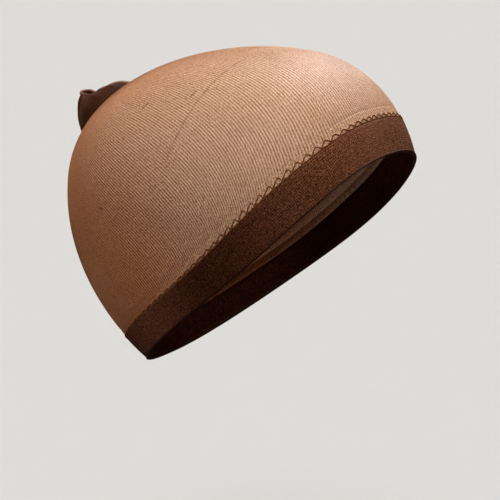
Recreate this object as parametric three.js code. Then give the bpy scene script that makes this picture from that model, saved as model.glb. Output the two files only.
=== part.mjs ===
// Stretch knit wig cap in its worn form, in millimetres: +Z is up and -Y is the brow side.
import * as THREE from 'three';

// Worn form of the knit, measured to its outer face from a centre inside the crown
const halfWidth = 75;
const browReach = 67;
const backReach = 115.5;
const crownRise = 78.5;
const napeDrop = 115.5;

// Roundness of the form: 2 is an ellipse, more is squarer
const browSquareness = 2.54;
const backSquareness = 2.27;
const sideSquareness = 2.14;

// Small departures from the round form, as shares of the distance from the centre
const backSpread = 0.10;
const napeTaper = 0.08;
const browHollow = 0.07;
const backFullness = 0.07;

// Rim: an oblique ring, high over the brow and low at the nape, that bows down at the sides
const rimTilt = 45.3;
const rimDrop = 23.8;
const rimBow = 3.5;

// Cloth
const knitWall = 1.0;
const stripWidth = 5;
const stripRaise = 0.3;
const bandWidth = 19.6;
const napeBandWidth = 16;
const bandRaise = 0.6;
const seamGap = 0.3;

// Gathered tail: its base ring on the crown, and its mouth behind and above the base
const tailElevation = 17.5;
const tailRadius = 22;
const mouthBack = 17;
const mouthRise = 7.6;
const mouthRadius = 3.9;
const tailWall = 1.1;
const pleatDepth = 0.8;
const pleatCount = 11;

// Mesh: columns run from the tail to the rim
const columnCount = 72;
const crownRows = 19;

// Band from its seam edge to the rim: share of the width, and share of the raise of its outer face
const bandSection = [
  { across: 0, raise: 0.5 },
  { across: 0.08, raise: 0.9 },
  { across: 0.45, raise: 1 },
  { across: 0.86, raise: 1 },
  { across: 0.95, raise: 1.7 },
  { across: 1, raise: 0.7 },
];

// Tail from base to mouth: radius between the two rings (1 is the base's and 0 the mouth's),
// share of the turn from the crown's slope to a level mouth, and share of the pleats' depth
const tailSections = [
  { along: 0, radius: 1, turn: 0, pleat: 0 },
  { along: 0.14, radius: 0.92, turn: 0, pleat: 0.15 },
  { along: 0.3, radius: 0.79, turn: 0, pleat: 0.45 },
  { along: 0.46, radius: 0.62, turn: 0.05, pleat: 0.8 },
  { along: 0.62, radius: 0.42, turn: 0.15, pleat: 1 },
  { along: 0.76, radius: 0.23, turn: 0.4, pleat: 1 },
  { along: 0.88, radius: 0.06, turn: 0.75, pleat: 0.7 },
  { along: 0.95, radius: -0.02, turn: 0.95, pleat: 0.45 },
  { along: 1, radius: 0, turn: 1, pleat: 0.3 },
];

const radians = THREE.MathUtils.degToRad;
const fullTurn = 2 * Math.PI;

// Form of the stretched knit

function swell(direction, y, z, tightness) {
  const length = Math.hypot(y, z);
  const closeness = (direction.y * y + direction.z * z) / length;
  return Math.exp(tightness * (closeness - 1));
}

function reach(direction) {
  const { x, y, z } = direction;
  const browShare = 0.5 - 0.5 * Math.tanh(2 * y);
  const squareness = browSquareness * browShare + backSquareness * (1 - browShare);
  const width = halfWidth * (1 + backSpread * y) * (1 + napeTaper * Math.min(z, 0));
  const length = y < 0 ? browReach : backReach;
  const height = z > 0 ? crownRise : napeDrop;
  const level = ((Math.abs(x) / width) ** squareness
    + (Math.abs(y) / length) ** squareness) ** (1 / squareness);
  const upright = Math.abs(z) / height;
  const round = (level ** sideSquareness + upright ** sideSquareness) ** (-1 / sideSquareness);
  return round * (1 - browHollow * swell(direction, -0.8, 0.6, 6)
    + backFullness * swell(direction, 1, -0.1, 8));
}

function facePoint(direction) {
  return direction.clone().multiplyScalar(reach(direction));
}

function faceNormal(point) {
  const step = 0.05;
  const slope = (axis) => {
    const ahead = point.clone().addScaledVector(axis, step);
    const behind = point.clone().addScaledVector(axis, -step);
    return ahead.length() / reach(ahead.clone().normalize())
      - behind.length() / reach(behind.clone().normalize());
  };
  const x = slope(new THREE.Vector3(1, 0, 0));
  const y = slope(new THREE.Vector3(0, 1, 0));
  const z = slope(new THREE.Vector3(0, 0, 1));
  return new THREE.Vector3(x, y, z).normalize();
}

// Directions round the tail's centre: a heading of 0 leads over the top to the brow

const tailAxis = new THREE.Vector3(0, Math.cos(radians(tailElevation)), Math.sin(radians(tailElevation)));
const towardBrow = new THREE.Vector3(0, -tailAxis.z, tailAxis.y);
const towardSide = new THREE.Vector3(1, 0, 0);

function headed(heading, fall) {
  return tailAxis.clone().multiplyScalar(Math.cos(fall))
    .addScaledVector(towardBrow, Math.sin(fall) * Math.cos(heading))
    .addScaledVector(towardSide, Math.sin(fall) * Math.sin(heading));
}

// Value between low and high where the test turns from true to false
function border(low, high, test) {
  for (let step = 0; step < 40; step += 1) {
    const middle = (low + high) / 2;
    if (test(middle)) low = middle;
    else high = middle;
  }
  return low;
}

// Rim of the opening

const rimAxis = new THREE.Vector3(0, Math.sin(radians(rimTilt)), Math.cos(radians(rimTilt)));
const rimFront = new THREE.Vector3(0, -rimAxis.z, rimAxis.y);

function heightOverRim(direction) {
  const round = Math.atan2(direction.x, direction.dot(rimFront));
  return facePoint(direction).dot(rimAxis) + rimDrop - rimBow * Math.cos(2 * round);
}

function rimFall(heading) {
  return border(0.1, 3, (fall) => heightOverRim(headed(heading, fall)) > 0);
}

const rimSamples = 360;
const rimLine = [];
let rimLength = 0;
for (let index = 0; index <= rimSamples; index += 1) {
  const heading = fullTurn * index / rimSamples;
  const point = facePoint(headed(heading, rimFall(heading)));
  if (index > 0) rimLength += point.distanceTo(rimLine[index - 1].point);
  rimLine.push({ heading, point, length: rimLength });
}

function rimHeading(share) {
  const length = share * rimLength;
  const index = Math.max(1, rimLine.findIndex((sample) => sample.length >= length));
  const before = rimLine[index - 1];
  const after = rimLine[index];
  const part = (length - before.length) / (after.length - before.length);
  return THREE.MathUtils.lerp(before.heading, after.heading, part);
}

function distanceToRim(point) {
  return Math.min(...rimLine.map((sample) => sample.point.distanceTo(point)));
}

// Columns: each runs from the tail's centre to its even share of the rim, which is 0 at the brow
// and 0.5 at the nape, where the band is narrower

const tailCentre = facePoint(tailAxis);

function columnAt(index) {
  const share = index / columnCount;
  const start = fullTurn * share;
  const end = rimHeading(share);
  const headingAt = (part) => start + (end - start) * part ** 1.5;
  const directionAt = (part) => headed(headingAt(part), part * rimFall(headingAt(part)));
  const pointAt = (part) => facePoint(directionAt(part));
  const awayFromTail = (distance) => border(0, 1,
    (part) => pointAt(part).distanceTo(tailCentre) < distance);
  const awayFromRim = (distance) => border(0, 1,
    (part) => distanceToRim(pointAt(part)) > distance);
  const napeShare = THREE.MathUtils.smoothstep(Math.min(share, 1 - share), 0.15, 0.33);
  const width = THREE.MathUtils.lerp(bandWidth, napeBandWidth, napeShare);
  return { start, width, pointAt, awayFromTail, awayFromRim };
}

const columns = [];
for (let index = 0; index < columnCount; index += 1) columns.push(columnAt(index));

// Bodies: each is one closed wall whose section, a loop of points, is carried round all columns

function raised(point, height) {
  return point.clone().addScaledVector(faceNormal(point), height);
}

function wallBody(name, look, loops) {
  const size = loops[0].length;
  const positions = loops.flat().flatMap((point) => point.toArray());
  const faces = [];
  for (let index = 0; index < loops.length; index += 1) {
    const here = index * size;
    const next = ((index + 1) % loops.length) * size;
    for (let corner = 0; corner < size; corner += 1) {
      const after = (corner + 1) % size;
      faces.push(here + corner, here + after, next + after);
      faces.push(here + corner, next + after, next + corner);
    }
  }
  const geometry = new THREE.BufferGeometry();
  geometry.setAttribute('position', new THREE.Float32BufferAttribute(positions, 3));
  geometry.setIndex(faces);
  geometry.computeVertexNormals();
  const mesh = new THREE.Mesh(geometry, new THREE.MeshStandardMaterial(look));
  mesh.name = name;
  return mesh;
}

// Section loop of a wall that follows the form: outer face down the column, inner face back up
function formLoop(column, from, to, rows) {
  const points = rows.map((row) => column.pointAt(THREE.MathUtils.lerp(from, to, row.across)));
  const outer = points.map((point, index) => raised(point, rows[index].raise));
  const inner = points.map((point) => raised(point, -knitWall)).reverse();
  return [...outer, ...inner];
}

function buildCrown() {
  const rows = [];
  for (let row = 0; row <= crownRows; row += 1) rows.push({ across: row / crownRows, raise: 0 });
  const loops = columns.map((column) => formLoop(
    column,
    column.awayFromTail(tailRadius + seamGap),
    column.awayFromRim(column.width + seamGap + stripWidth + seamGap),
    rows,
  ));
  return wallBody('crown', { color: '#b98768', roughness: 0.8, metalness: 0 }, loops);
}

function buildSeamStrip() {
  const rows = [{ across: 0, raise: stripRaise }, { across: 1, raise: stripRaise }];
  const loops = columns.map((column) => formLoop(
    column,
    column.awayFromRim(column.width + seamGap + stripWidth),
    column.awayFromRim(column.width + seamGap),
    rows,
  ));
  return wallBody('seam_strip', { color: '#c8a07d', roughness: 0.8, metalness: 0 }, loops);
}

function buildBand() {
  const rows = bandSection.map((row) => ({ across: row.across, raise: row.raise * bandRaise }));
  const loops = columns.map((column) => formLoop(column, column.awayFromRim(column.width), 1, rows));
  return wallBody('band', { color: '#5b3321', roughness: 0.85, metalness: 0 }, loops);
}

// Tail

const tailSlope = faceNormal(tailCentre);
const slopeAngle = Math.atan2(tailSlope.z, tailSlope.y);
const mouthCentre = tailCentre.clone().add(new THREE.Vector3(0, mouthBack, mouthRise));

function tailRing(section, heading) {
  const angle = THREE.MathUtils.lerp(slopeAngle, Math.PI / 2, section.turn);
  const uphill = new THREE.Vector3(0, -Math.sin(angle), Math.cos(angle));
  const radius = THREE.MathUtils.lerp(mouthRadius, tailRadius, section.radius);
  return tailCentre.clone().lerp(mouthCentre, section.along)
    .addScaledVector(uphill, radius * Math.cos(heading))
    .addScaledVector(towardSide, radius * Math.sin(heading));
}

// The base ring is drawn down onto the crown, and the sections above it follow less and less
function tailPoint(section, column) {
  const base = column.pointAt(column.awayFromTail(tailRadius));
  const drop = base.sub(tailRing(tailSections[0], column.start));
  return tailRing(section, column.start).addScaledVector(drop, (1 - section.along) ** 3);
}

function buildTail() {
  const smooth = columns.map((column) => tailSections.map((section) => tailPoint(section, column)));
  const loops = columns.map((column, index) => {
    const before = smooth[(index + columnCount - 1) % columnCount];
    const after = smooth[(index + 1) % columnCount];
    const outer = [];
    const inner = [];
    tailSections.forEach((section, row) => {
      const point = smooth[index][row];
      const lower = smooth[index][Math.max(0, row - 1)];
      const upper = smooth[index][Math.min(tailSections.length - 1, row + 1)];
      const round = after[row].clone().sub(before[row]);
      const onCrown = row === 0;
      const normal = onCrown ? faceNormal(point) : round.cross(upper.clone().sub(lower)).normalize();
      const wave = 0.5 + 0.5 * Math.cos(pleatCount * column.start);
      const pleat = pleatDepth * section.pleat * wave;
      outer.push(point.clone().addScaledVector(normal, pleat));
      inner.push(point.clone().addScaledVector(normal, onCrown ? -knitWall : -tailWall));
    });
    return [...inner, ...outer.reverse()];
  });
  return wallBody('gather_tail', { color: '#54301f', roughness: 0.9, metalness: 0 }, loops);
}

// The origin is on the crown's inner face, straight above the form's centre
const seat = raised(facePoint(new THREE.Vector3(0, 0, 1)), -knitWall);

const cap = new THREE.Group();
cap.add(buildCrown(), buildSeamStrip(), buildBand(), buildTail());
cap.position.copy(seat).negate();

export default cap;
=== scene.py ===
import math

import bpy
import numpy as np
from mathutils import Matrix, Vector


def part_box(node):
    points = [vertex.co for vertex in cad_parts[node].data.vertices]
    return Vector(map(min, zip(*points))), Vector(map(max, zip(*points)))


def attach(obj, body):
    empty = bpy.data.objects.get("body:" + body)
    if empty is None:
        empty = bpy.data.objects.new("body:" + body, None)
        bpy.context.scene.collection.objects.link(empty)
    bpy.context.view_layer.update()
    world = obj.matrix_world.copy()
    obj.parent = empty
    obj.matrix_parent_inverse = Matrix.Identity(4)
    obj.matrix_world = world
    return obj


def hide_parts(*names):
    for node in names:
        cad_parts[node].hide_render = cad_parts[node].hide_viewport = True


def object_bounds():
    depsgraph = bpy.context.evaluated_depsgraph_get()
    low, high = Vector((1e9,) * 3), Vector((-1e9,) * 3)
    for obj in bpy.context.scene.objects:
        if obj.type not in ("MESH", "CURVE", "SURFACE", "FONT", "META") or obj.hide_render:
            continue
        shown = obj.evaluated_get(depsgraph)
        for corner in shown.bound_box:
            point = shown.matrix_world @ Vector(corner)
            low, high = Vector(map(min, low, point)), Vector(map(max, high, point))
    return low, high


# Stretch knit wig cap in its worn form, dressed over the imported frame.
# Metres: +Z is up, -Y the brow side, +Y the side of the gathered tail.
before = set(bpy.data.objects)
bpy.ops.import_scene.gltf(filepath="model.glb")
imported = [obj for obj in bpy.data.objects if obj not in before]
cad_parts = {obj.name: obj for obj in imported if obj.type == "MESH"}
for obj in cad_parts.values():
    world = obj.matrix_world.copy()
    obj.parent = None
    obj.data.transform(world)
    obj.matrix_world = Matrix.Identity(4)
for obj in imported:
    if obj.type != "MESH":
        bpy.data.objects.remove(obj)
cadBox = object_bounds()
print("frame loaded")


# The worn form: the knit's outer face, as a distance from a centre inside the crown

wornForm = {
    "crownWidth": 0.15279,      # across the frame's crown when the lengths below hold
    "halfWidth": 0.075,
    "browReach": 0.067,
    "backReach": 0.1155,
    "crownRise": 0.0785,
    "napeDrop": 0.1155,
    "browSquareness": 2.54,     # 2 is an ellipse, more is squarer
    "backSquareness": 2.27,
    "sideSquareness": 2.14,
    "backSpread": 0.10,         # small departures, as shares of the distance
    "napeTaper": 0.08,
    "browHollow": 0.07,
    "hollowPlace": (-0.8, 0.6, 6),      # toward y and z, and how tight
    "backFullness": 0.07,
    "fullnessPlace": (1, -0.1, 8),
    "wall": 0.001,
}
crownLow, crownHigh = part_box("crown")
fit = (crownHigh.x - crownLow.x) / wornForm["crownWidth"]
fullTurn = 2 * math.pi


def unit(v):
    return v / np.linalg.norm(v, axis=-1, keepdims=True)


def lerp(a, b, share):
    return a + (b - a) * share


def smoothStep(x, low, high):
    share = np.clip((x - low) / (high - low), 0, 1)
    return share * share * (3 - 2 * share)


def swellAt(d, y, z, tightness):
    closeness = (d[..., 1] * y + d[..., 2] * z) / math.hypot(y, z)
    return np.exp(tightness * (closeness - 1))


def reachOf(d):
    f = wornForm
    x, y, z = np.abs(d[..., 0]), d[..., 1], d[..., 2]
    browShare = 0.5 - 0.5 * np.tanh(2 * y)
    squareness = lerp(f["backSquareness"], f["browSquareness"], browShare)
    width = fit * f["halfWidth"] * (1 + f["backSpread"] * y) * (1 + f["napeTaper"] * np.minimum(z, 0))
    length = fit * np.where(y < 0, f["browReach"], f["backReach"])
    height = fit * np.where(z > 0, f["crownRise"], f["napeDrop"])
    level = ((x / width) ** squareness + (np.abs(y) / length) ** squareness) ** (1 / squareness)
    sides = f["sideSquareness"]
    rounded = (level ** sides + (np.abs(z) / height) ** sides) ** (-1 / sides)
    hollow = f["browHollow"] * swellAt(d, *f["hollowPlace"])
    fullness = f["backFullness"] * swellAt(d, *f["fullnessPlace"])
    return rounded * (1 - hollow + fullness)


def facePoint(d):
    return d * reachOf(d)[..., None]


def faceNormal(p):
    step = 0.00005
    slopes = []
    for axis in np.eye(3):
        ahead = p + axis * step
        behind = p - axis * step
        slopes.append(np.linalg.norm(ahead, axis=-1) / reachOf(unit(ahead))
                      - np.linalg.norm(behind, axis=-1) / reachOf(unit(behind)))
    return unit(np.stack(slopes, -1))


def raised(p, height):
    return p + faceNormal(p) * np.asarray(height)[..., None]


def headed(heading, fall):      # directions round the tail: a heading of 0 leads over the top to the brow
    heading, fall = np.broadcast_arrays(heading, fall)
    across = np.cos(heading)[..., None] * towardBrow + np.sin(heading)[..., None] * towardSide
    return np.cos(fall)[..., None] * tailAxis + np.sin(fall)[..., None] * across


def borderOf(low, high, test, steps=32):
    low, high = np.array(low, float), np.array(high, float)
    for _ in range(steps):
        middle = (low + high) / 2
        inside = test(middle)
        low = np.where(inside, middle, low)
        high = np.where(inside, high, middle)
    return low


# Where the edges run: the tail's ring, the rim and the seam over the band

edges = {
    "tailElevation": 17.5,      # degrees
    "tailRadius": 0.022,
    "rimTilt": 45.3,            # degrees
    "rimDrop": 0.0238,
    "rimBow": 0.0035,
    "bandWidth": 0.0196,
    "napeBandWidth": 0.016,
    "stripWidth": 0.0056,
    "samples": 720,
}
tilt = math.radians(edges["tailElevation"])
tailAxis = np.array([0, math.cos(tilt), math.sin(tilt)])
towardBrow = np.array([0, -tailAxis[2], tailAxis[1]])
towardSide = np.array([1.0, 0, 0])
tailCentre = facePoint(tailAxis)
rimAxis = np.array([0, math.sin(math.radians(edges["rimTilt"])), math.cos(math.radians(edges["rimTilt"]))])
rimFront = np.array([0, -rimAxis[2], rimAxis[1]])
seat = raised(facePoint(np.array([0, 0, 1.0])), -fit * wornForm["wall"])


def heightOverRim(d):
    bow = np.cos(2 * np.arctan2(d[..., 0], d @ rimFront))
    return facePoint(d) @ rimAxis + fit * (edges["rimDrop"] - edges["rimBow"] * bow)


def lineLengths(points):
    steps = np.linalg.norm(np.diff(points, axis=0), axis=1)
    return np.concatenate([[0], np.cumsum(steps)])


def bandWidthAt(share):         # share round the rim: 0 at the brow and 0.5 at the nape
    napeShare = smoothStep(np.minimum(share % 1, 1 - share % 1), 0.15, 0.33)
    return fit * lerp(edges["bandWidth"], edges["napeBandWidth"], napeShare)


headings = np.linspace(0, fullTurn, edges["samples"] + 1)
ones = np.ones_like(headings)
rimFalls = borderOf(0.1 * ones, 3 * ones, lambda fall: heightOverRim(headed(headings, fall)) > 0)
rimPoints = facePoint(headed(headings, rimFalls))
rimLengths = lineLengths(rimPoints)
rimShares = rimLengths / rimLengths[-1]


def overSeam(d):                # how far a point lies above the strip's upper edge
    away = np.linalg.norm(facePoint(d)[:, None] - rimPoints[None], axis=-1)
    nearest = np.argmin(away, axis=1)
    return np.min(away, axis=1) - bandWidthAt(rimShares[nearest]) - fit * edges["stripWidth"]


seamFalls = borderOf(0.1 * ones, rimFalls, lambda fall: overSeam(headed(headings, fall)) > 0)
seamLengths = lineLengths(facePoint(headed(headings, seamFalls)))


def seamFallAt(heading):
    return np.interp(heading % fullTurn, headings, seamFalls)


rimTangents = unit(np.roll(rimPoints[:-1], -1, axis=0) - np.roll(rimPoints[:-1], 1, axis=0))
rimTangents = np.concatenate([rimTangents, rimTangents[:1]])


def alongRim(share, values):
    share = np.asarray(share) % 1
    return np.stack([np.interp(share, rimShares, values[:, axis]) for axis in range(3)], -1)


def weltPoint(share, distance):     # a point on the form, square to the rim at that distance from it
    share, distance = np.broadcast_arrays(share, distance)
    edge = facePoint(unit(alongRim(share, rimPoints)))
    tangent = unit(alongRim(share, rimTangents))
    upward = unit(np.cross(tangent, faceNormal(edge)))
    upward = upward * np.sign(upward @ rimAxis)[..., None]
    run = np.array(distance, float)
    for _ in range(5):
        point = facePoint(unit(edge + upward * run[..., None]))
        reached = np.linalg.norm(point - edge, axis=-1)
        run = run * distance / np.maximum(reached, 1e-9)
    return point


print("edges worked out, rim", round(float(rimLengths[-1]), 4), "m round")


# Mesh and node helpers

def gridMesh(name, points, alongV, attributes, aroundU=None):      # columns by rows, closed both ways
    columns, rows = points.shape[:2]
    here = np.arange(columns)[:, None] * rows + np.arange(rows)[None]
    nextRow = np.roll(here, -1, 1)
    nextColumn = np.roll(here, -1, 0)
    corners = np.stack([here, nextRow, np.roll(nextColumn, -1, 1), nextColumn], -1)
    mesh = bpy.data.meshes.new(name)
    mesh.from_pydata((points - seat).reshape(-1, 3), [], corners.reshape(-1, 4).tolist())
    u = (np.arange(columns + 1) / columns)[:, None] if aroundU is None else aroundU
    u = np.broadcast_to(u, (columns + 1, rows))
    uNext = np.roll(u, -1, 1)
    v = np.asarray(alongV)
    uvs = np.zeros((columns, rows, 4, 2))
    for corner, values in enumerate((u[:-1], uNext[:-1], uNext[1:], u[1:])):
        uvs[:, :, corner, 0] = values
    uvs[:, :, 0, 1] = uvs[:, :, 3, 1] = v[None]
    uvs[:, :, 1, 1] = uvs[:, :, 2, 1] = np.roll(v, -1)[None]
    mesh.uv_layers.new(name="knitMap").data.foreach_set("uv", uvs.ravel())
    for key, values in attributes.items():
        attribute = mesh.attributes.new(key, "FLOAT", "POINT")
        spread = np.broadcast_to(values, (columns, rows)).astype(np.float32)
        attribute.data.foreach_set("value", spread.ravel())
    mesh.polygons.foreach_set("use_smooth", [True] * len(mesh.polygons))
    mesh.update()
    if signedVolume(mesh) < 0:
        mesh.flip_normals()
    return mesh


def signedVolume(mesh):
    mesh.calc_loop_triangles()
    points = np.array([v.co for v in mesh.vertices])
    triangles = np.zeros(len(mesh.loop_triangles) * 3, int)
    mesh.loop_triangles.foreach_get("vertices", triangles)
    a, b, c = points[triangles.reshape(-1, 3).T]
    return float(np.sum(a * np.cross(b, c))) / 6


def pieceOf(name, mesh):
    piece = bpy.data.objects.new(name, mesh)
    bpy.context.collection.objects.link(piece)
    return piece


def nodeOf(tree, kind, **settings):
    node = tree.nodes.new(kind)
    for key, value in settings.items():
        setattr(node, key, value)
    return node


def join(tree, value, socket):
    if isinstance(value, bpy.types.NodeSocket):
        tree.links.new(value, socket)
    else:
        socket.default_value = value


def calc(tree, operation, *values, clamp=False):
    node = nodeOf(tree, "ShaderNodeMath", operation=operation, use_clamp=clamp)
    for value, socket in zip(values, node.inputs):
        join(tree, value, socket)
    return node.outputs[0]


def centred(tree, value):       # 0 to 1 becomes -0.5 to 0.5
    return calc(tree, "SUBTRACT", value, 0.5)


def scaled(tree, vector, amount):
    node = nodeOf(tree, "ShaderNodeVectorMath", operation="SCALE")
    tree.links.new(vector, node.inputs[0])
    join(tree, amount, node.inputs["Scale"])
    return node.outputs[0]


def summed(tree, a, b):
    node = nodeOf(tree, "ShaderNodeVectorMath", operation="ADD")
    tree.links.new(a, node.inputs[0])
    tree.links.new(b, node.inputs[1])
    return node.outputs[0]


def newTree(name, inputs):
    tree = bpy.data.node_groups.new(name, "GeometryNodeTree")
    tree.is_modifier = True
    tree.interface.new_socket("Geometry", in_out="INPUT", socket_type="NodeSocketGeometry")
    for label, kind in inputs.items():
        tree.interface.new_socket(label, in_out="INPUT", socket_type="NodeSocket" + kind)
    tree.interface.new_socket("Geometry", in_out="OUTPUT", socket_type="NodeSocketGeometry")
    return tree, tree.nodes.new("NodeGroupInput")


def endTree(tree, geometry, material):
    realize = tree.nodes.new("GeometryNodeRealizeInstances")
    finish = tree.nodes.new("GeometryNodeSetMaterial")
    tree.links.new(geometry, realize.inputs[0])
    tree.links.new(realize.outputs[0], finish.inputs[0])
    tree.links.new(material, finish.inputs["Material"])
    tree.links.new(finish.outputs[0], tree.nodes.new("NodeGroupOutput").inputs[0])


def readAttribute(tree, name, kind="FLOAT"):
    node = nodeOf(tree, "GeometryNodeInputNamedAttribute", data_type=kind)
    node.inputs["Name"].default_value = name
    return node.outputs[0]


def growWith(piece, tree, values):      # runs the tree on the piece and keeps the result as a plain mesh
    modifier = piece.modifiers.new(tree.name, "NODES")
    modifier.node_group = tree
    for item in tree.interface.items_tree:
        if item.item_type == "SOCKET" and item.in_out == "INPUT" and item.name in values:
            modifier[item.identifier] = values[item.name]
    graph = bpy.context.evaluated_depsgraph_get()
    mesh = bpy.data.meshes.new_from_object(piece.evaluated_get(graph), depsgraph=graph)
    piece.modifiers.clear()
    plain = piece.data
    piece.data = mesh
    bpy.data.meshes.remove(plain)
    mesh.name = piece.name
    mesh.polygons.foreach_set("use_smooth", [True] * len(mesh.polygons))
    return piece


# Ribs: every point moves out along its normal by its place on the rib

def ribsTree():
    tree, given = newTree("knitRibs", {
        "Rib height": "Float", "Rib fullness": "Float", "Unevenness": "Float",
        "Patch size": "Float", "Seed": "Float", "Material": "Material",
    })
    wave = calc(tree, "COSINE", calc(tree, "MULTIPLY", readAttribute(tree, "ribNumber"), fullTurn))
    ridge = calc(tree, "MULTIPLY_ADD", wave, 0.5, 0.5)
    ridge = calc(tree, "POWER", ridge, given.outputs["Rib fullness"])
    noise = nodeOf(tree, "ShaderNodeTexNoise", noise_dimensions="4D")
    noise.inputs["Detail"].default_value = 1
    tree.links.new(calc(tree, "DIVIDE", 1.0, given.outputs["Patch size"]), noise.inputs["Scale"])
    tree.links.new(given.outputs["Seed"], noise.inputs["W"])
    uneven = calc(tree, "MULTIPLY_ADD", centred(tree, noise.outputs[0]), given.outputs["Unevenness"], 1.0)
    height = calc(tree, "MULTIPLY", ridge, uneven)
    height = calc(tree, "MULTIPLY", height, given.outputs["Rib height"])
    height = calc(tree, "MULTIPLY", height, readAttribute(tree, "ribEase"))
    move = tree.nodes.new("GeometryNodeSetPosition")
    normal = tree.nodes.new("GeometryNodeInputNormal")
    tree.links.new(given.outputs["Geometry"], move.inputs["Geometry"])
    tree.links.new(scaled(tree, normal.outputs[0], height), move.inputs["Offset"])
    endTree(tree, move.outputs[0], given.outputs["Material"])
    return tree


# Stitches: a closed ring of points, of which each carries its place on its loop, is drawn out
# into leaning arches and swept with a round thread

def stitchTree():
    tree, given = newTree("joinLoops", {
        "Loop length": "Float", "Loop height": "Float", "Lean": "Float", "Tip roundness": "Float",
        "Thread radius": "Float", "Knot": "Float", "Lift": "Float", "Material": "Material",
    })
    phase = readAttribute(tree, "loopPlace")
    toTip = calc(tree, "SUBTRACT", calc(tree, "MULTIPLY", phase, 2.0), 1.0)
    roundness = calc(tree, "MULTIPLY", given.outputs["Tip roundness"], given.outputs["Tip roundness"])
    peak = calc(tree, "SQRT", calc(tree, "ADD", roundness, 1.0))
    slope = calc(tree, "SQRT", calc(tree, "ADD", calc(tree, "MULTIPLY", toTip, toTip), roundness))
    rise = calc(tree, "SUBTRACT", peak, slope)
    rise = calc(tree, "DIVIDE", rise, calc(tree, "SUBTRACT", peak, given.outputs["Tip roundness"]))
    along = calc(tree, "MULTIPLY", rise, given.outputs["Lean"])
    along = calc(tree, "MULTIPLY", along, given.outputs["Loop length"])
    height = calc(tree, "MULTIPLY", rise, given.outputs["Loop height"])
    height = calc(tree, "MULTIPLY", height, readAttribute(tree, "loopSize"))
    lift = calc(tree, "ADD", given.outputs["Lift"], given.outputs["Thread radius"])
    offset = summed(tree, scaled(tree, readAttribute(tree, "seamAlong", "FLOAT_VECTOR"), along),
                    scaled(tree, readAttribute(tree, "seamUp", "FLOAT_VECTOR"), height))
    offset = summed(tree, offset, scaled(tree, readAttribute(tree, "seamOut", "FLOAT_VECTOR"), lift))
    move = tree.nodes.new("GeometryNodeSetPosition")
    toCurve = tree.nodes.new("GeometryNodeMeshToCurve")
    thick = tree.nodes.new("GeometryNodeSetCurveRadius")
    sweep = tree.nodes.new("GeometryNodeCurveToMesh")
    circle = tree.nodes.new("GeometryNodeCurvePrimitiveCircle")
    circle.inputs["Resolution"].default_value = 6
    knot = calc(tree, "POWER", calc(tree, "ABSOLUTE", toTip), 10.0)
    tree.links.new(given.outputs["Geometry"], move.inputs["Geometry"])
    tree.links.new(offset, move.inputs["Offset"])
    tree.links.new(move.outputs[0], toCurve.inputs["Mesh"])
    tree.links.new(toCurve.outputs[0], thick.inputs["Curve"])
    tree.links.new(calc(tree, "MULTIPLY_ADD", knot, given.outputs["Knot"], 1.0), thick.inputs["Radius"])
    tree.links.new(given.outputs["Thread radius"], circle.inputs["Radius"])
    tree.links.new(thick.outputs[0], sweep.inputs["Curve"])
    tree.links.new(circle.outputs[0], sweep.inputs["Profile Curve"])
    if "Scale" in sweep.inputs:
        radius = tree.nodes.new("GeometryNodeInputRadius")
        tree.links.new(radius.outputs[0], sweep.inputs["Scale"])
    endTree(tree, sweep.outputs[0], given.outputs["Material"])
    return tree


# Materials

def newMaterial(name):
    material = bpy.data.materials.new(name)
    material.use_nodes = True
    tree = material.node_tree
    tree.nodes.clear()
    shader = tree.nodes.new("ShaderNodeBsdfPrincipled")
    output = tree.nodes.new("ShaderNodeOutputMaterial")
    tree.links.new(shader.outputs[0], output.inputs["Surface"])
    return material, tree, shader


def setShader(shader, **values):
    names = {
        "roughness": "Roughness", "specular": "Specular IOR Level", "tint": "Specular Tint",
        "sheen": "Sheen Weight", "sheenRoughness": "Sheen Roughness", "sheenTint": "Sheen Tint",
    }
    for key, value in values.items():
        shader.inputs[names[key]].default_value = value


def mapPlaces(tree):            # round the cap and along the knit, from the piece's own map
    uv = nodeOf(tree, "ShaderNodeUVMap", uv_map="knitMap")
    split = tree.nodes.new("ShaderNodeSeparateXYZ")
    tree.links.new(uv.outputs[0], split.inputs[0])
    return split.outputs[0], split.outputs[1]


def napeToBrow(tree, u):        # 0 at the middle of the nape and 0.5 over the brow
    return calc(tree, "ABSOLUTE", centred(tree, u))


def noiseOf(tree, scale, detail, seed):
    place = nodeOf(tree, "ShaderNodeTexCoord").outputs["Object"]
    noise = nodeOf(tree, "ShaderNodeTexNoise", noise_dimensions="4D")
    noise.inputs["Scale"].default_value = scale
    noise.inputs["Detail"].default_value = detail
    noise.inputs["W"].default_value = seed
    tree.links.new(place, noise.inputs["Vector"])
    return noise.outputs[0]


def rampOf(tree, value, stops):
    ramp = tree.nodes.new("ShaderNodeValToRGB")
    while len(ramp.color_ramp.elements) < len(stops):
        ramp.color_ramp.elements.new(0.5)
    for element, (place, colour) in zip(ramp.color_ramp.elements, stops):
        element.position = place
        element.color = (*colour, 1)
    join(tree, value, ramp.inputs[0])
    return ramp.outputs[0]


def blended(tree, share, a, b, way="MIX"):
    mix = nodeOf(tree, "ShaderNodeMix", data_type="RGBA", blend_type=way)
    join(tree, share, mix.inputs[0])
    for value, socket in ((a, mix.inputs[6]), (b, mix.inputs[7])):
        join(tree, value if isinstance(value, bpy.types.NodeSocket) else (*value, 1), socket)
    return mix.outputs[2]


def ranged(tree, value, fromLow, fromHigh, toLow=0.0, toHigh=1.0):
    node = nodeOf(tree, "ShaderNodeMapRange", interpolation_type="SMOOTHSTEP")
    for socket, amount in zip(node.inputs, (value, fromLow, fromHigh, toLow, toHigh)):
        join(tree, amount, socket)
    return node.outputs[0]


def patchy(tree, pattern, seed, detail=2):      # a factor that drifts over the cloth
    scale, low, high, least, most = pattern
    return ranged(tree, noiseOf(tree, scale, detail, seed), low, high, least, most)


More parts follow.
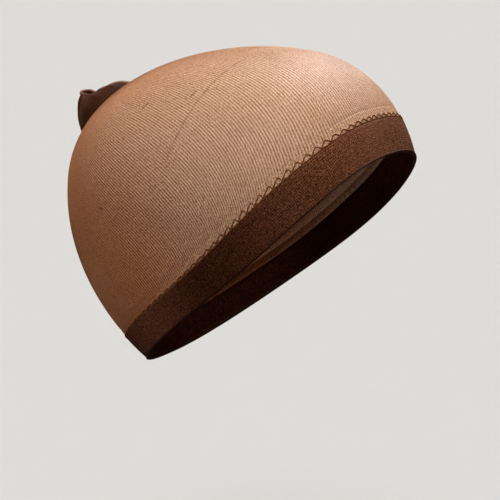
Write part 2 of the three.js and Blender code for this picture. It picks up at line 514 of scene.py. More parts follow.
def bumped(tree, shader, height, distance, strength):
    bump = tree.nodes.new("ShaderNodeBump")
    bump.inputs["Strength"].default_value = strength
    bump.inputs["Distance"].default_value = distance
    tree.links.new(height, bump.inputs["Height"])
    tree.links.new(bump.outputs[0], shader.inputs["Normal"])


def waveOf(tree, place, count):     # 0 to 1 and back, count times over the map
    wave = calc(tree, "COSINE", calc(tree, "MULTIPLY", place, count * fullTurn))
    return calc(tree, "MULTIPLY_ADD", wave, 0.5, 0.5)


# A pattern is a noise scale, the noise's low and high and what these two give
crownKnit = {
    "wales": 336,               # fine ribs round the cap
    "crowding": (0.2, 0.117),   # how much closer they lie at the nape, and at nape and brow alike
    "columnsPerWale": 4,
    "rows": 46,
    "insideRows": 16,
    "tuck": 0.012,              # how far the edge runs on under the strip, as a share of its length
    "tuckDepth": 0.0004,
    "ribHeight": 0.00011,
    "ribFullness": 0.75,
    "unevenness": 0.7,
    "unevenPatch": 0.004,
    "courses": 170,             # rows of loops from the tail to the seam
    "startLag": (0.264, 0.05),  # how the wales spread unevenly from the tail
    "endLag": (0.172, 0.157),   # and how they meet the seam
    "bend": 3.6,
    "wander": 0.0018,           # how far the ribs stray sideways, as shares of a turn
    "wanderScale": 55,
    "fineWander": 0.0007,
    "fineWanderScale": 420,
    "waveFullness": 0.8,
    "closedPitch": 0.0007,      # the ribs are lost where they lie closer than this
    "openPitch": 0.00140,       # and full from here on
    "browOpenness": 0.85,       # they stay clear over the brow
    "browSpan": (0.38, 0.46),   # from the nape round
    "browStart": (0.4, 0.7),    # from the tail down
    "insideOpenness": 0.6,
    "ribClearness": (130, 0.3, 0.7, 0.62, 1.08),
    "courseClearness": (120, 0.4, 0.65, 0.1, 0.7),
    "grain": 3.2,
    "grainScale": 2000,
    "patches": 0.3,
    "patchScale": 14,
    "valley": (0.30, 0.104, 0.040),
    "flank": (0.62, 0.322, 0.183),
    "ridge": (0.95, 0.59, 0.385),
    # darker and more saturated where the ribs lie close: partly denser knit, partly painted shade
    "closedKnitAndShadeTint": (0.88, 0.70, 0.56),
    "closedDepth": 0.9,
    "napeDensityAndShadeTint": (0.74, 0.475, 0.305),   # darker toward the nape: partly denser knit, stretched less, partly painted shade for the dim light on that side
    "napeSpan": (0.14, 0.32),
    "gathered": (0.10, 0.042, 0.024),
    "gatherDepth": 0.8,
    "gatherSpan": (0.14, 0.30),
    "pullDepth": 0.6,
    "sheen": {"sheen": 0.85, "sheenRoughness": 0.36, "sheenTint": (0.66, 0.27, 0.12, 1)},
    "seed": 4.0,
}

creaseShade = {                      # painted shade of a fine crease: a dark line across the ribs, up one side
    "middle": 0.87,             # share round the cap
    "spanMiddle": 0.86,
    "line": (5.2, -0.40, 0.585),
    "halfLength": (0.06, 0.10),
    "halfWidth": (0.0010, 0.0044),
    "breaks": (500, 0.35, 0.65, 0.45, 1.0),
    "depth": 0.62,
    "tone": (0.24, 0.092, 0.036),
    "seed": 51.0,
}

# Short pulled threads: share round, share along, slant in degrees, length and width
pulls = {
    "near crease": (0.861, 0.5565, 0, 0.0050, 0.0008),
    "upper side": (0.821, 0.437, 0, 0.0050, 0.0008),
    "low side": (0.6895, 0.575, 65, 0.0032, 0.0013),
}

knitSpan = {"round": 0.42, "along": 0.158}      # metres of knit round and down, about where the pulls lie


def creaseShadeMask(tree, u, v):
    across = calc(tree, "SUBTRACT", u, creaseShade["middle"])
    bend, slope, level = creaseShade["line"]
    line = calc(tree, "MULTIPLY_ADD", calc(tree, "MULTIPLY_ADD", across, bend, slope), across, level)
    away = calc(tree, "ABSOLUTE", calc(tree, "SUBTRACT", v, line))
    near = ranged(tree, away, *creaseShade["halfWidth"], 1.0, 0.0)
    along = calc(tree, "ABSOLUTE", calc(tree, "SUBTRACT", u, creaseShade["spanMiddle"]))
    ends = ranged(tree, along, *creaseShade["halfLength"], 1.0, 0.0)
    depth = calc(tree, "MULTIPLY", patchy(tree, creaseShade["breaks"], creaseShade["seed"]), creaseShade["depth"])
    return calc(tree, "MULTIPLY", calc(tree, "MULTIPLY", near, ends), depth)


def pullMask(tree, u, v, pull):
    roundShare, alongShare, slant, length, width = pull
    across = calc(tree, "MULTIPLY", calc(tree, "SUBTRACT", u, roundShare), knitSpan["round"])
    along = calc(tree, "MULTIPLY", calc(tree, "SUBTRACT", v, alongShare), knitSpan["along"])
    c, s = math.cos(math.radians(slant)), math.sin(math.radians(slant))
    a = calc(tree, "MULTIPLY_ADD", across, c, calc(tree, "MULTIPLY", along, s))
    b = calc(tree, "MULTIPLY_ADD", across, -s, calc(tree, "MULTIPLY", along, c))
    onLength = ranged(tree, calc(tree, "ABSOLUTE", a), 0.3 * length, 0.7 * length, 1.0, 0.0)
    onWidth = ranged(tree, calc(tree, "ABSOLUTE", b), 0.3 * width, 0.8 * width, 1.0, 0.0)
    return calc(tree, "MULTIPLY", onLength, onWidth)


def crownWales(tree, u):        # the ribs' wave, which runs on from the crown into the strip
    look = crownKnit
    wander = centred(tree, noiseOf(tree, look["wanderScale"], 2, look["seed"]))
    fine = centred(tree, noiseOf(tree, look["fineWanderScale"], 1, look["seed"] + 7))
    place = calc(tree, "MULTIPLY_ADD", wander, look["wander"], u)
    place = calc(tree, "MULTIPLY_ADD", fine, look["fineWander"], place)
    return calc(tree, "POWER", waveOf(tree, place, look["wales"]), look["waveFullness"])


def knitMaterial(look):
    material, tree, shader = newMaterial("stretchedKnit")
    seed = look["seed"]
    u, v = mapPlaces(tree)
    wale = crownWales(tree, u)
    course = waveOf(tree, v, look["courses"])
    grain = centred(tree, noiseOf(tree, look["grainScale"], 1, seed + 1))
    patches = centred(tree, noiseOf(tree, look["patchScale"], 3, seed + 2))
    openness = nodeOf(tree, "ShaderNodeAttribute", attribute_name="openness").outputs["Fac"]
    clear = calc(tree, "MULTIPLY", patchy(tree, look["ribClearness"], seed + 3), openness)
    crossClear = patchy(tree, look["courseClearness"], seed + 5)
    ribShade = calc(tree, "MULTIPLY", centred(tree, wale), clear)
    courseShade = calc(tree, "MULTIPLY", centred(tree, course), crossClear)
    height = calc(tree, "ADD", calc(tree, "ADD", ribShade, courseShade), 0.5)
    tone = calc(tree, "MULTIPLY_ADD", grain, look["grain"], height)
    tone = calc(tree, "MULTIPLY_ADD", patches, look["patches"], tone)
    colour = rampOf(tree, tone, [(0.0, look["valley"]), (0.5, look["flank"]), (1.0, look["ridge"])])
    # darker where the ribs lie close: partly denser knit, partly painted shade
    closed = calc(tree, "MULTIPLY_ADD", openness, -look["closedDepth"], look["closedDepth"])
    colour = blended(tree, closed, colour, look["closedKnitAndShadeTint"], "MULTIPLY")
    # darker toward the nape: partly denser knit, partly painted shade
    nape = ranged(tree, napeToBrow(tree, u), *look["napeSpan"], 1.0, 0.0)
    colour = blended(tree, nape, colour, look["napeDensityAndShadeTint"], "MULTIPLY")
    gather = ranged(tree, v, *look["gatherSpan"], look["gatherDepth"], 0.0)
    colour = blended(tree, gather, colour, look["gathered"])
    # painted shade along the crease
    colour = blended(tree, creaseShadeMask(tree, u, v), colour, creaseShade["tone"])
    for pull in pulls.values():
        mask = calc(tree, "MULTIPLY", pullMask(tree, u, v, pull), look["pullDepth"])
        colour = blended(tree, mask, colour, look["gathered"])
    tree.links.new(colour, shader.inputs["Base Color"])
    setShader(shader, roughness=0.45, specular=0.34, tint=(1.0, 0.92, 0.85, 1), **look["sheen"])
    bumped(tree, shader, height, 0.00016, 0.6)
    return material


def waleHeading(share, along):
    look = crownKnit
    fine = np.linspace(0, 1, 721)
    nape, both = look["crowding"]
    counted = fine - (nape * np.sin(fullTurn * fine) - both / 2 * np.sin(2 * fullTurn * fine)) / fullTurn
    share = np.interp(share, counted, fine)
    turn = fullTurn * share
    start = turn - look["startLag"][0] * np.sin(turn) + look["startLag"][1] * np.sin(2 * turn)
    ending = share - (look["endLag"][0] * np.sin(turn) - look["endLag"][1] * np.sin(2 * turn)) / fullTurn
    end = np.interp(ending * seamLengths[-1], seamLengths, headings)
    return start + (end - start) * along ** look["bend"]


def waleDirections(share, along):
    heading = waleHeading(share, along)
    return headed(heading, along * seamFallAt(heading))


def waleShareAt(points):        # the wale that runs on through each point of the strip
    d = unit(points)
    heading = np.arctan2(d @ towardSide, d @ towardBrow)
    heading = np.unwrap(heading, axis=0)
    heading = heading - fullTurn * np.round(heading[:1] / fullTurn)
    along = np.arccos(np.clip(d @ tailAxis, -1, 1)) / seamFallAt(heading)
    turns = np.floor(heading / fullTurn)
    inTurn = heading - turns * fullTurn
    share = borderOf(np.zeros_like(inTurn), np.ones_like(inTurn), lambda s: waleHeading(s, along) < inTurn)
    return share + turns


def makeCrownKnit(ribs):
    look = crownKnit
    columns = look["wales"] * look["columnsPerWale"]
    share = (np.arange(columns) / columns)[:, None]
    radius = fit * edges["tailRadius"]

    def nearTail(along):
        return np.linalg.norm(facePoint(waleDirections(share, along)) - tailCentre, axis=-1) < radius

    first = borderOf(np.zeros_like(share), np.ones_like(share), nearTail)
    tucked = np.full_like(share, 1 + look["tuck"])
    outerAlong = np.concatenate([lerp(first, 1, np.linspace(0, 1, look["rows"])[None]), tucked], 1)
    innerAlong = lerp(tucked, first, np.linspace(0, 1, look["insideRows"])[None])
    outer = facePoint(waleDirections(share, outerAlong))
    inner = facePoint(waleDirections(share, innerAlong))
    lift = np.zeros_like(outerAlong)
    lift[:, -1] = -fit * look["tuckDepth"]
    outer = raised(outer, lift)
    inner = raised(inner, np.full_like(innerAlong, -fit * wornForm["wall"]))
    points = np.concatenate([outer, inner], 1)
    step = np.roll(points, -1, 0) - points
    rib = unit(np.roll(points, -1, 1) - np.roll(points, 1, 1))
    step = step - rib * np.sum(step * rib, -1, keepdims=True)       # square to the rib
    pitch = np.linalg.norm(step, axis=-1) * look["columnsPerWale"]
    openness = smoothStep(pitch, fit * look["closedPitch"], fit * look["openPitch"])
    alongAll = np.concatenate([outerAlong, innerAlong], 1)
    overBrow = smoothStep(np.abs(share - 0.5), *look["browSpan"]) * smoothStep(alongAll, *look["browStart"])
    openness = np.maximum(openness, look["browOpenness"] * overBrow)
    openness[:, look["rows"] + 1:] *= look["insideOpenness"]
    ease = openness.copy()
    ease[:, look["rows"] - 1:look["rows"] + 1] = 0
    number = (np.arange(columns) / look["columnsPerWale"])[:, None]
    attributes = {"ribNumber": number, "ribEase": ease, "openness": openness}
    crown = pieceOf("crownKnit", gridMesh("crownKnit", points, alongAll.mean(0), attributes))
    growWith(crown, ribs, {
        "Rib height": fit * look["ribHeight"], "Rib fullness": look["ribFullness"],
        "Unevenness": look["unevenness"], "Patch size": look["unevenPatch"],
        "Seed": look["seed"], "Material": knitMaterial(look),
    })
    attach(crown, "root")
    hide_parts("crown")
    print("crown knit made,", len(crown.data.polygons), "faces")


joinLoops = {
    "count": 90,                # loops of the joining stitch round the cap
    "pointsPerLoop": 16,
    "height": 0.0024,
    "unevenness": (0.88, 1.08),
    "napeShrink": 0.68,         # the loops are flatter toward the nape
    "napeSpan": (0.16, 0.29),   # spans are shares of a turn, this one from the brow
    "browShrink": 0.28,
    "browSpan": (0.37, 0.46),   # and these from the nape
    "lean": 0.44,               # they stand straight over the brow
    "leanSpan": (0.35, 0.44),
    "tipRoundness": 0.5,
    "threadRadius": 0.00030,
    "knot": 0.45,
    "lift": 0.0001,
    "overSeam": 0.0002,         # the loops' feet stand this far above the band's edge
    "thread": (0.235, 0.076, 0.022),
    "twist": (1800, 2, 21.0),   # noise scale, detail and seed
    "seed": 31,
}

edgeThread = {                  # the thread that runs along under the loops
    "stitchesPerLoop": 2,
    "pointsPerStitch": 8,
    "height": 0.0003,
    "underSeam": 0.0003,
    "tipRoundness": 0.5,
    "knot": 0.2,
}

seamStrip = {
    "columnsPerLoop": 10,
    "rows": 10,
    "insideRows": 4,
    "reach": 1.15,              # it runs on under the stitch, as a share of its width
    "raise": 0.00010,
    "lip": (0.15, 0.3),         # what is left of the raise at the upper edge, and where it is full
    "pucker": 0.00028,          # how far the cloth puffs up inside each loop
    "puckerAround": (0.62, 0.24),       # its middle and spread, as shares of a loop
    "puckerDown": (0.80, 0.2),
    "courses": 7,
    "courseDepth": 0.42,
    "wander": 0.12,
    "wanderScale": 160,
    "level": 0.53,
    "ribClearness": (190, 0.3, 0.7, 0.45, 1.0),
    "ribFade": (0.1, 0.7, 1.0, 0.35),   # the crown's ribs, from the seam to the stitch
    "grain": 2.8,
    "grainScale": 1500,
    "valley": (0.30, 0.115, 0.050),
    "flank": (0.60, 0.322, 0.182),
    "ridge": (0.94, 0.59, 0.375),
    # painted shade: a thin broken dark line along the strip's upper edge, where it steps over the crown
    "foldShade": (0.13, 0.048, 0.02),
    "foldShadeStrength": 0.34,
    "foldShadeSpan": (0.0, 0.30),
    "foldShadeBreaks": (700, 0.35, 0.6, 0.3, 1.0),
    "puffLightGain": (1.20, 1.27, 1.36),     # painted light inside the loops, where the cloth puffs up and the thread shades it
    "puffSpan": (0.55, 0.72),
    # darker toward the nape: partly denser knit, partly painted shade for the dim light on that side
    "napeDensityAndShadeTint": (0.67, 0.40, 0.26),
    "napeSpan": (0.12, 0.34),
    "seed": 11.0,
}


def stripMaterial(look):
    material, tree, shader = newMaterial("doubledKnit")
    seed = look["seed"]
    u, v = mapPlaces(tree)
    wander = centred(tree, noiseOf(tree, look["wanderScale"], 2, seed))
    course = waveOf(tree, calc(tree, "MULTIPLY_ADD", wander, look["wander"], v), look["courses"])
    wale = crownWales(tree, u)
    grain = centred(tree, noiseOf(tree, look["grainScale"], 1, seed + 1))
    clear = patchy(tree, look["ribClearness"], seed + 3)
    clear = calc(tree, "MULTIPLY", clear, ranged(tree, v, *look["ribFade"]))
    ribShade = calc(tree, "MULTIPLY", centred(tree, wale), clear)
    height = calc(tree, "MULTIPLY_ADD", centred(tree, course), look["courseDepth"], ribShade)
    height = calc(tree, "ADD", height, look["level"])
    tone = calc(tree, "MULTIPLY_ADD", grain, look["grain"], height)
    colour = rampOf(tree, tone, [(0.0, look["valley"]), (0.5, look["flank"]), (1.0, look["ridge"])])
    # painted light inside the loops, lifting the cloth that the thread shades
    puffLight = ranged(tree, v, *look["puffSpan"])
    colour = blended(tree, puffLight, colour, look["puffLightGain"], "MULTIPLY")
    # painted shade along the strip's upper edge
    foldShade = ranged(tree, v, *look["foldShadeSpan"], look["foldShadeStrength"], 0.0)
    foldShade = calc(tree, "MULTIPLY", foldShade, patchy(tree, look["foldShadeBreaks"], seed + 2, 1))
    colour = blended(tree, foldShade, colour, look["foldShade"])
    # darker toward the nape: partly denser knit, partly painted shade
    nape = ranged(tree, napeToBrow(tree, u), *look["napeSpan"], 1.0, 0.0)
    colour = blended(tree, nape, colour, look["napeDensityAndShadeTint"], "MULTIPLY")
    tree.links.new(colour, shader.inputs["Base Color"])
    setShader(shader, roughness=0.6, specular=0.2, tint=(1.0, 0.76, 0.54, 1), **crownKnit["sheen"])
    bumped(tree, shader, height, 0.00015, 0.7)
    return material


def makeSeamStrip():
    look = seamStrip
    columns = joinLoops["count"] * look["columnsPerLoop"]
    share = (np.arange(columns) / columns)[:, None]
    place = np.arange(columns) % look["columnsPerLoop"] / look["columnsPerLoop"]
    down = np.linspace(0, look["reach"], look["rows"])[None]
    innerDown = np.linspace(look["reach"], 0, look["insideRows"])[None]
    width = bandWidthAt(share)
    outer = weltPoint(share, width + fit * edges["stripWidth"] * (1 - down))
    inner = weltPoint(share, width + fit * edges["stripWidth"] * (1 - innerDown))
    toBrow = np.where(share < 0.5, 1 - place[:, None], place[:, None])
    around, aroundSpread = look["puckerAround"]
    below, belowSpread = look["puckerDown"]
    inLoop = np.exp(-((toBrow - around) / aroundSpread) ** 2) * np.exp(-((down - below) / belowSpread) ** 2)
    lipLeft, lipEnd = look["lip"]
    lip = lerp(lipLeft, 1, smoothStep(down, 0, lipEnd))
    waleShare = waleShareAt(np.concatenate([outer, inner], 1))
    aroundU = np.concatenate([waleShare, waleShare[:1] + 1])
    outer = raised(outer, fit * (look["raise"] * lip + look["pucker"] * inLoop))
    inner = raised(inner, np.full(inner.shape[:2], -fit * wornForm["wall"]))
    points = np.concatenate([outer, inner], 1)
    alongV = np.concatenate([down, innerDown], 1)[0]
    strip = pieceOf("seamStrip", gridMesh("seamStrip", points, alongV, {}, aroundU))
    strip.data.materials.append(stripMaterial(look))
    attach(strip, "root")
    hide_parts("seam_strip")
    print("seam strip made,", len(strip.data.polygons), "faces")


bandWelt = {
    "ribs": 480,                # fine ribs across the band, all round
    "columnsPerRib": 3,
    "edgeRows": 4,
    "faceRows": 15,
    "hemRows": 10,
    "insideRows": 9,
    "raise": 0.0006,
    "edgeRise": 0.08,           # where the seam edge reaches its full raise, as a share of the width
    "hem": 0.055,               # width of the rolled lower edge, as a share
    "hemBulge": 0.0005,
    "hemTuck": 0.4,             # how much of the raise the hem loses at its lower edge
    "ribHeight": 0.00008,
    "ribFullness": 1.0,
    "unevenness": 0.8,
    "unevenPatch": 0.003,
    "easeSpan": 0.05,           # the ribs grow to their height over this share
    "hemEase": 0.4,
    "insideEase": 0.5,
    "courses": 17,
    "wander": 0.03,
    "wanderScale": 130,
    "courseClearness": (75, 0.45, 0.65, 0.06, 0.38),
    "ribClearness": (75, 0.4, 0.6, 0.1, 0.4),
    "grain": 3.0,
    "grainScale": 1500,
    "patches": 0.5,
    "patchScale": 22,
    "dark": (0.015, 0.0035, 0.0014),
    "mid": (0.055, 0.0142, 0.0058),
    "light": (0.14, 0.038, 0.015),
    "browGain": (3.0, 3.9, 4.3),        # lighter over the brow, where it is stretched most
    "browSpan": (0.26, 0.46),
    # painted light: lighter toward the nape, where the lamps fall off
    "napePaintedLight": (2.6, 3.2, 4.0),
    "napeSpan": (0.13, 0.24),
    "hemColour": (0.014, 0.005, 0.003),
    "hemDepth": 0.75,
    "seed": 9.0,
}


def bandMaterial(look):
    material, tree, shader = newMaterial("elasticWelt")
    seed = look["seed"]
    u, v = mapPlaces(tree)
    wander = centred(tree, noiseOf(tree, look["wanderScale"], 2, seed))
    course = waveOf(tree, calc(tree, "MULTIPLY_ADD", wander, look["wander"], v), look["courses"])
    rib = waveOf(tree, u, look["ribs"])
    grain = centred(tree, noiseOf(tree, look["grainScale"], 2, seed + 1))
    patches = centred(tree, noiseOf(tree, look["patchScale"], 3, seed + 2))
    crossClear = patchy(tree, look["courseClearness"], seed + 3)
    clear = patchy(tree, look["ribClearness"], seed + 4)
    courseShade = calc(tree, "MULTIPLY", centred(tree, course), crossClear)
    ribShade = calc(tree, "MULTIPLY", centred(tree, rib), clear)
    height = calc(tree, "ADD", calc(tree, "ADD", courseShade, ribShade), 0.5)
    tone = calc(tree, "MULTIPLY_ADD", grain, look["grain"], height)
    tone = calc(tree, "MULTIPLY_ADD", patches, look["patches"], tone)
    colour = rampOf(tree, tone, [(0.05, look["dark"]), (0.5, look["mid"]), (1.0, look["light"])])
    fromNape = napeToBrow(tree, u)
    colour = blended(tree, ranged(tree, fromNape, *look["browSpan"]), colour, look["browGain"], "MULTIPLY")
    # painted light toward the nape
    nape = ranged(tree, fromNape, *look["napeSpan"], 1.0, 0.0)
    colour = blended(tree, nape, colour, look["napePaintedLight"], "MULTIPLY")
    hem = ranged(tree, v, 1 - look["hem"] * 1.2, 1 - look["hem"] * 0.8, 0.0, look["hemDepth"])
    colour = blended(tree, hem, colour, look["hemColour"])
    tree.links.new(colour, shader.inputs["Base Color"])
    setShader(shader, roughness=0.65, specular=0.06, tint=(1.0, 0.7, 0.5, 1))
    bumped(tree, shader, height, 0.00015, 0.7)
    return material


def makeBandWelt(ribs):
    look = bandWelt
    columns = look["ribs"] * look["columnsPerRib"]
    share = (np.arange(columns) / columns)[:, None]
    hemTop = 1 - 1.5 * look["hem"]
    edgeRows = np.linspace(0, look["edgeRise"], look["edgeRows"], endpoint=False)
    faceRows = np.linspace(look["edgeRise"], hemTop, look["faceRows"], endpoint=False)
    hemRows = np.linspace(hemTop, 1, look["hemRows"])
    down = np.concatenate([edgeRows, faceRows, hemRows])[None]
    innerDown = np.linspace(1, 0, look["insideRows"])[None]
    onHem = np.clip((down - (1 - look["hem"])) / look["hem"], -1, 1)
    bulge = np.sqrt(np.clip(1 - (2 * onHem - 1) ** 2, 0, 1)) * (onHem > 0)
    rise = 0.5 + 0.5 * smoothStep(down, 0, look["edgeRise"])
    rise = rise * (1 - look["hemTuck"] * smoothStep(onHem, 0.4, 1))
    height = look["raise"] * rise + look["hemBulge"] * bulge
    width = bandWidthAt(share)
    outer = weltPoint(share, width * (1 - down))
    outer = raised(outer, fit * np.broadcast_to(height, outer.shape[:2]))
    inner = weltPoint(share, width * (1 - innerDown))
    inner = raised(inner, np.full(inner.shape[:2], -fit * wornForm["wall"]))
    points = np.concatenate([outer, inner], 1)
    alongV = np.concatenate([down, innerDown], 1)[0]
    number = (np.arange(columns) / look["columnsPerRib"])[:, None]
    ease = smoothStep(down, 0, look["easeSpan"]) * np.where(onHem > 0, look["hemEase"], 1)
    ease = np.concatenate([ease, np.full(innerDown.shape, look["insideEase"])], 1)
    band = pieceOf("bandWelt", gridMesh("bandWelt", points, alongV, {"ribNumber": number, "ribEase": ease}))
    growWith(band, ribs, {
        "Rib height": fit * look["ribHeight"], "Rib fullness": look["ribFullness"],
        "Unevenness": look["unevenness"], "Patch size": look["unevenPatch"],
        "Seed": look["seed"], "Material": bandMaterial(look),
    })
    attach(band, "root")
    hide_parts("band")
    print("band made,", len(band.data.polygons), "faces")


def threadMaterial(look):
    material, tree, shader = newMaterial("stitchThread")
    twist = noiseOf(tree, *look["twist"])
    dark = tuple(0.55 * c for c in look["thread"])
    light = tuple(1.9 * c for c in look["thread"])
    colour = rampOf(tree, twist, [(0.3, dark), (0.5, look["thread"]), (0.75, light)])
    tree.links.new(colour, shader.inputs["Base Color"])
    setShader(shader, roughness=0.7, specular=0.06)
    bumped(tree, shader, twist, 0.0001, 0.6)
    return material


def seamRing(name, count, perLoop, lift, drop):      # a ring of points along the band's upper edge
    look = joinLoops
    total = count * perLoop
    share = np.arange(total) / total
    edge = weltPoint(share, bandWidthAt(share) - fit * drop)
    out = faceNormal(edge)
    along = unit(np.roll(edge, -1, 0) - np.roll(edge, 1, 0))
    upward = unit(np.cross(out, along))
    upward = upward * np.sign(upward @ rimAxis)[:, None]
    rng = np.random.default_rng(look["seed"])
    size = np.repeat(rng.uniform(*look["unevenness"], count), perLoop)
    fromNape = np.abs(share - 0.5)
    size = size * (1 - look["napeShrink"] * smoothStep(0.5 - fromNape, *look["napeSpan"]))
    size = size * (1 - look["browShrink"] * smoothStep(fromNape, *look["browSpan"]))
    along = along * (1 - smoothStep(fromNape, *look["leanSpan"]))[:, None]
    place = np.tile(np.arange(perLoop) / perLoop, count)
    mirrored = share < 0.5                               # the loops lean toward the brow on both sides
    place = np.where(mirrored, 1 - place, place)
    along = np.where(mirrored[:, None], -along, along)
    mesh = bpy.data.meshes.new(name)
    links = np.stack([np.arange(total), np.roll(np.arange(total), -1)], -1)
    mesh.from_pydata(edge + out * fit * lift - seat, links.tolist(), [])
    for key, values in (("loopPlace", place), ("loopSize", size)):
        attribute = mesh.attributes.new(key, "FLOAT", "POINT")
        attribute.data.foreach_set("value", values.astype(np.float32))
    for key, values in (("seamAlong", along), ("seamUp", upward), ("seamOut", out)):
        attribute = mesh.attributes.new(key, "FLOAT_VECTOR", "POINT")
        attribute.data.foreach_set("vector", values.astype(np.float32).ravel())
    return pieceOf(name, mesh)


def makeJoinStitch():
    look = joinLoops
    tree = stitchTree()
    thread = threadMaterial(look)
    threadRadius = fit * look["threadRadius"]
    loopLength = float(rimLengths[-1]) / look["count"]
    lift = seamStrip["raise"]
    loops = seamRing("joinStitch", look["count"], look["pointsPerLoop"], lift, -look["overSeam"])
    growWith(loops, tree, {
        "Loop length": loopLength, "Loop height": fit * look["height"],
        "Lean": look["lean"], "Tip roundness": look["tipRoundness"],
        "Thread radius": threadRadius, "Knot": look["knot"], "Lift": look["lift"], "Material": thread,
    })
    run = edgeThread
    stitches = look["count"] * run["stitchesPerLoop"]
    edge = seamRing("edgeThread", stitches, run["pointsPerStitch"], lift, run["underSeam"])
    growWith(edge, tree, {
        "Loop length": loopLength / run["stitchesPerLoop"], "Loop height": fit * run["height"],
        "Lean": 0.0, "Tip roundness": run["tipRoundness"],
        "Thread radius": threadRadius, "Knot": run["knot"], "Lift": 0.0, "Material": thread,
    })
    for piece in (loops, edge):
        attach(piece, "root")
    print("joining stitch made,", len(loops.data.polygons) + len(edge.data.polygons), "faces")


gatherTail = {
    "mouthBack": 0.0156,
    "mouthRise": 0.0080,
    "mouthRadius": 0.0045,
    "mouthTip": 9,              # degrees
    "mouthLip": (0.0004, 0.97, 0.02),   # its bulge, where it lies and its spread
    "wall": 0.0011,
    "mouthWall": 0.75,          # the wall's share that is left at the mouth
    "flangeReach": 0.0012,      # the edge runs on over the crown this far
    "flangeDepth": 0.0003,
    "pleatDepth": 0.0008,
    "pleats": 11,
    "pleatSharpness": 1.3,
    "pleatWander": 0.6,
    "finePleats": 0.25,         # depth of the finer ones between, as a share
    "columns": 352,
    "rows": 56,
    "insideRows": 24,
    "wales": 140,
    "waleDepth": 0.4,
    "courses": 60,
    "courseDepth": 0.3,
    "grain": 0.7,
    "grainScale": 900,
    "patches": 0.9,
    "patchScale": 90,
    "dark": (0.018, 0.005, 0.0025),
    "mid": (0.056, 0.0165, 0.007),
    "light": (0.125, 0.045, 0.022),
    # colour of the painted highlights along the back, on the neck pleats and round the mouth's lip
    "lip": (0.37, 0.18, 0.112),
    "backHighlight": (0.015, 0.085),         # the painted highlight along the back: share past the top, and drift
    "backHighlightStrength": 0.85,
    "neckPleatHighlight": 0.409,         # the painted highlights on the pleats beside it at the neck, as a share from below
    "pleatHighlightStrength": 0.8,
    "lipHighlightBreaks": (240, 0.4, 0.6, 0.35, 0.9),
    "seed": 6.0,
    # along the tail: radius between its two rings, turn towards level, pleats, all as shares
    "sections": (
        (0.00, 1.00, 0.00, 0.00),
        (0.14, 0.92, 0.00, 0.15),
        (0.30, 0.79, 0.00, 0.45),
        (0.46, 0.62, 0.05, 0.80),
        (0.62, 0.42, 0.15, 1.00),
        (0.76, 0.23, 0.40, 1.00),
        (0.88, 0.06, 0.75, 0.70),
        (0.95, -0.02, 0.95, 0.45),
        (1.00, 0.00, 0.95, 0.30),
    ),
}


def smoothTable(x, xs, ys):     # a smooth line through the points of a short table
    slopes = np.gradient(ys, xs)
    index = np.clip(np.searchsorted(xs, x, side="right") - 1, 0, len(xs) - 2)
    step = xs[index + 1] - xs[index]
    s = (x - xs[index]) / step
    return ((2 * s ** 3 - 3 * s ** 2 + 1) * ys[index] + (s ** 3 - 2 * s ** 2 + s) * step * slopes[index]
            + (3 * s ** 2 - 2 * s ** 3) * ys[index + 1] + (s ** 3 - s ** 2) * step * slopes[index + 1])


def tailMaterial(look):
    material, tree, shader = newMaterial("gatheredKnit")
    seed = look["seed"]
    u, v = mapPlaces(tree)
    wale = waveOf(tree, u, look["wales"])
    course = waveOf(tree, v, look["courses"])
    grain = centred(tree, noiseOf(tree, look["grainScale"], 2, seed))
    patches = centred(tree, noiseOf(tree, look["patchScale"], 3, seed + 1))
    height = calc(tree, "MULTIPLY", wale, look["waleDepth"])
    height = calc(tree, "MULTIPLY_ADD", course, look["courseDepth"], height)
    tone = calc(tree, "MULTIPLY_ADD", grain, look["grain"], height)
    tone = calc(tree, "MULTIPLY_ADD", patches, look["patches"], tone)
    colour = rampOf(tree, tone, [(0.0, look["dark"]), (0.4, look["mid"]), (0.95, look["light"])])
    # painted highlights: a pale line along the back, on the neck pleats and round the mouth's lip
    backStart, backDrift = look["backHighlight"]
    backPlace = calc(tree, "MULTIPLY_ADD", v, backDrift, calc(tree, "ADD", u, 0.5 - backStart))
    fromTop = calc(tree, "ABSOLUTE", centred(tree, calc(tree, "FRACT", backPlace)))
    fromTop = calc(tree, "DIVIDE", fromTop, ranged(tree, v, 0.40, 0.62, 0.65, 1.8))       # wider at the neck
    back = ranged(tree, fromTop, 0.022, 0.042, look["backHighlightStrength"], 0.0)
    back = calc(tree, "MULTIPLY", back, ranged(tree, v, 0.65, 0.8, 1.0, 0.0))
    fromPleat = calc(tree, "ABSOLUTE", calc(tree, "SUBTRACT", napeToBrow(tree, u), look["neckPleatHighlight"]))
    pleat = ranged(tree, fromPleat, 0.014, 0.032, look["pleatHighlightStrength"], 0.0)
    pleat = calc(tree, "MULTIPLY", pleat, ranged(tree, v, 0.40, 0.47))
    pleat = calc(tree, "MULTIPLY", pleat, ranged(tree, v, 0.66, 0.8, 1.0, 0.0))
    lip = calc(tree, "MULTIPLY", ranged(tree, v, 0.955, 0.985), patchy(tree, look["lipHighlightBreaks"], seed + 2))
    lighter = calc(tree, "MAXIMUM", calc(tree, "MAXIMUM", back, pleat), lip)
    colour = blended(tree, lighter, colour, look["lip"])
    tree.links.new(colour, shader.inputs["Base Color"])
    setShader(shader, roughness=0.65, specular=0.06, tint=(1.0, 0.6, 0.4, 1),
              sheen=0.16, sheenRoughness=0.35, sheenTint=(1.0, 0.5, 0.28, 1))
    bumped(tree, shader, height, 0.00015, 0.7)
    return material


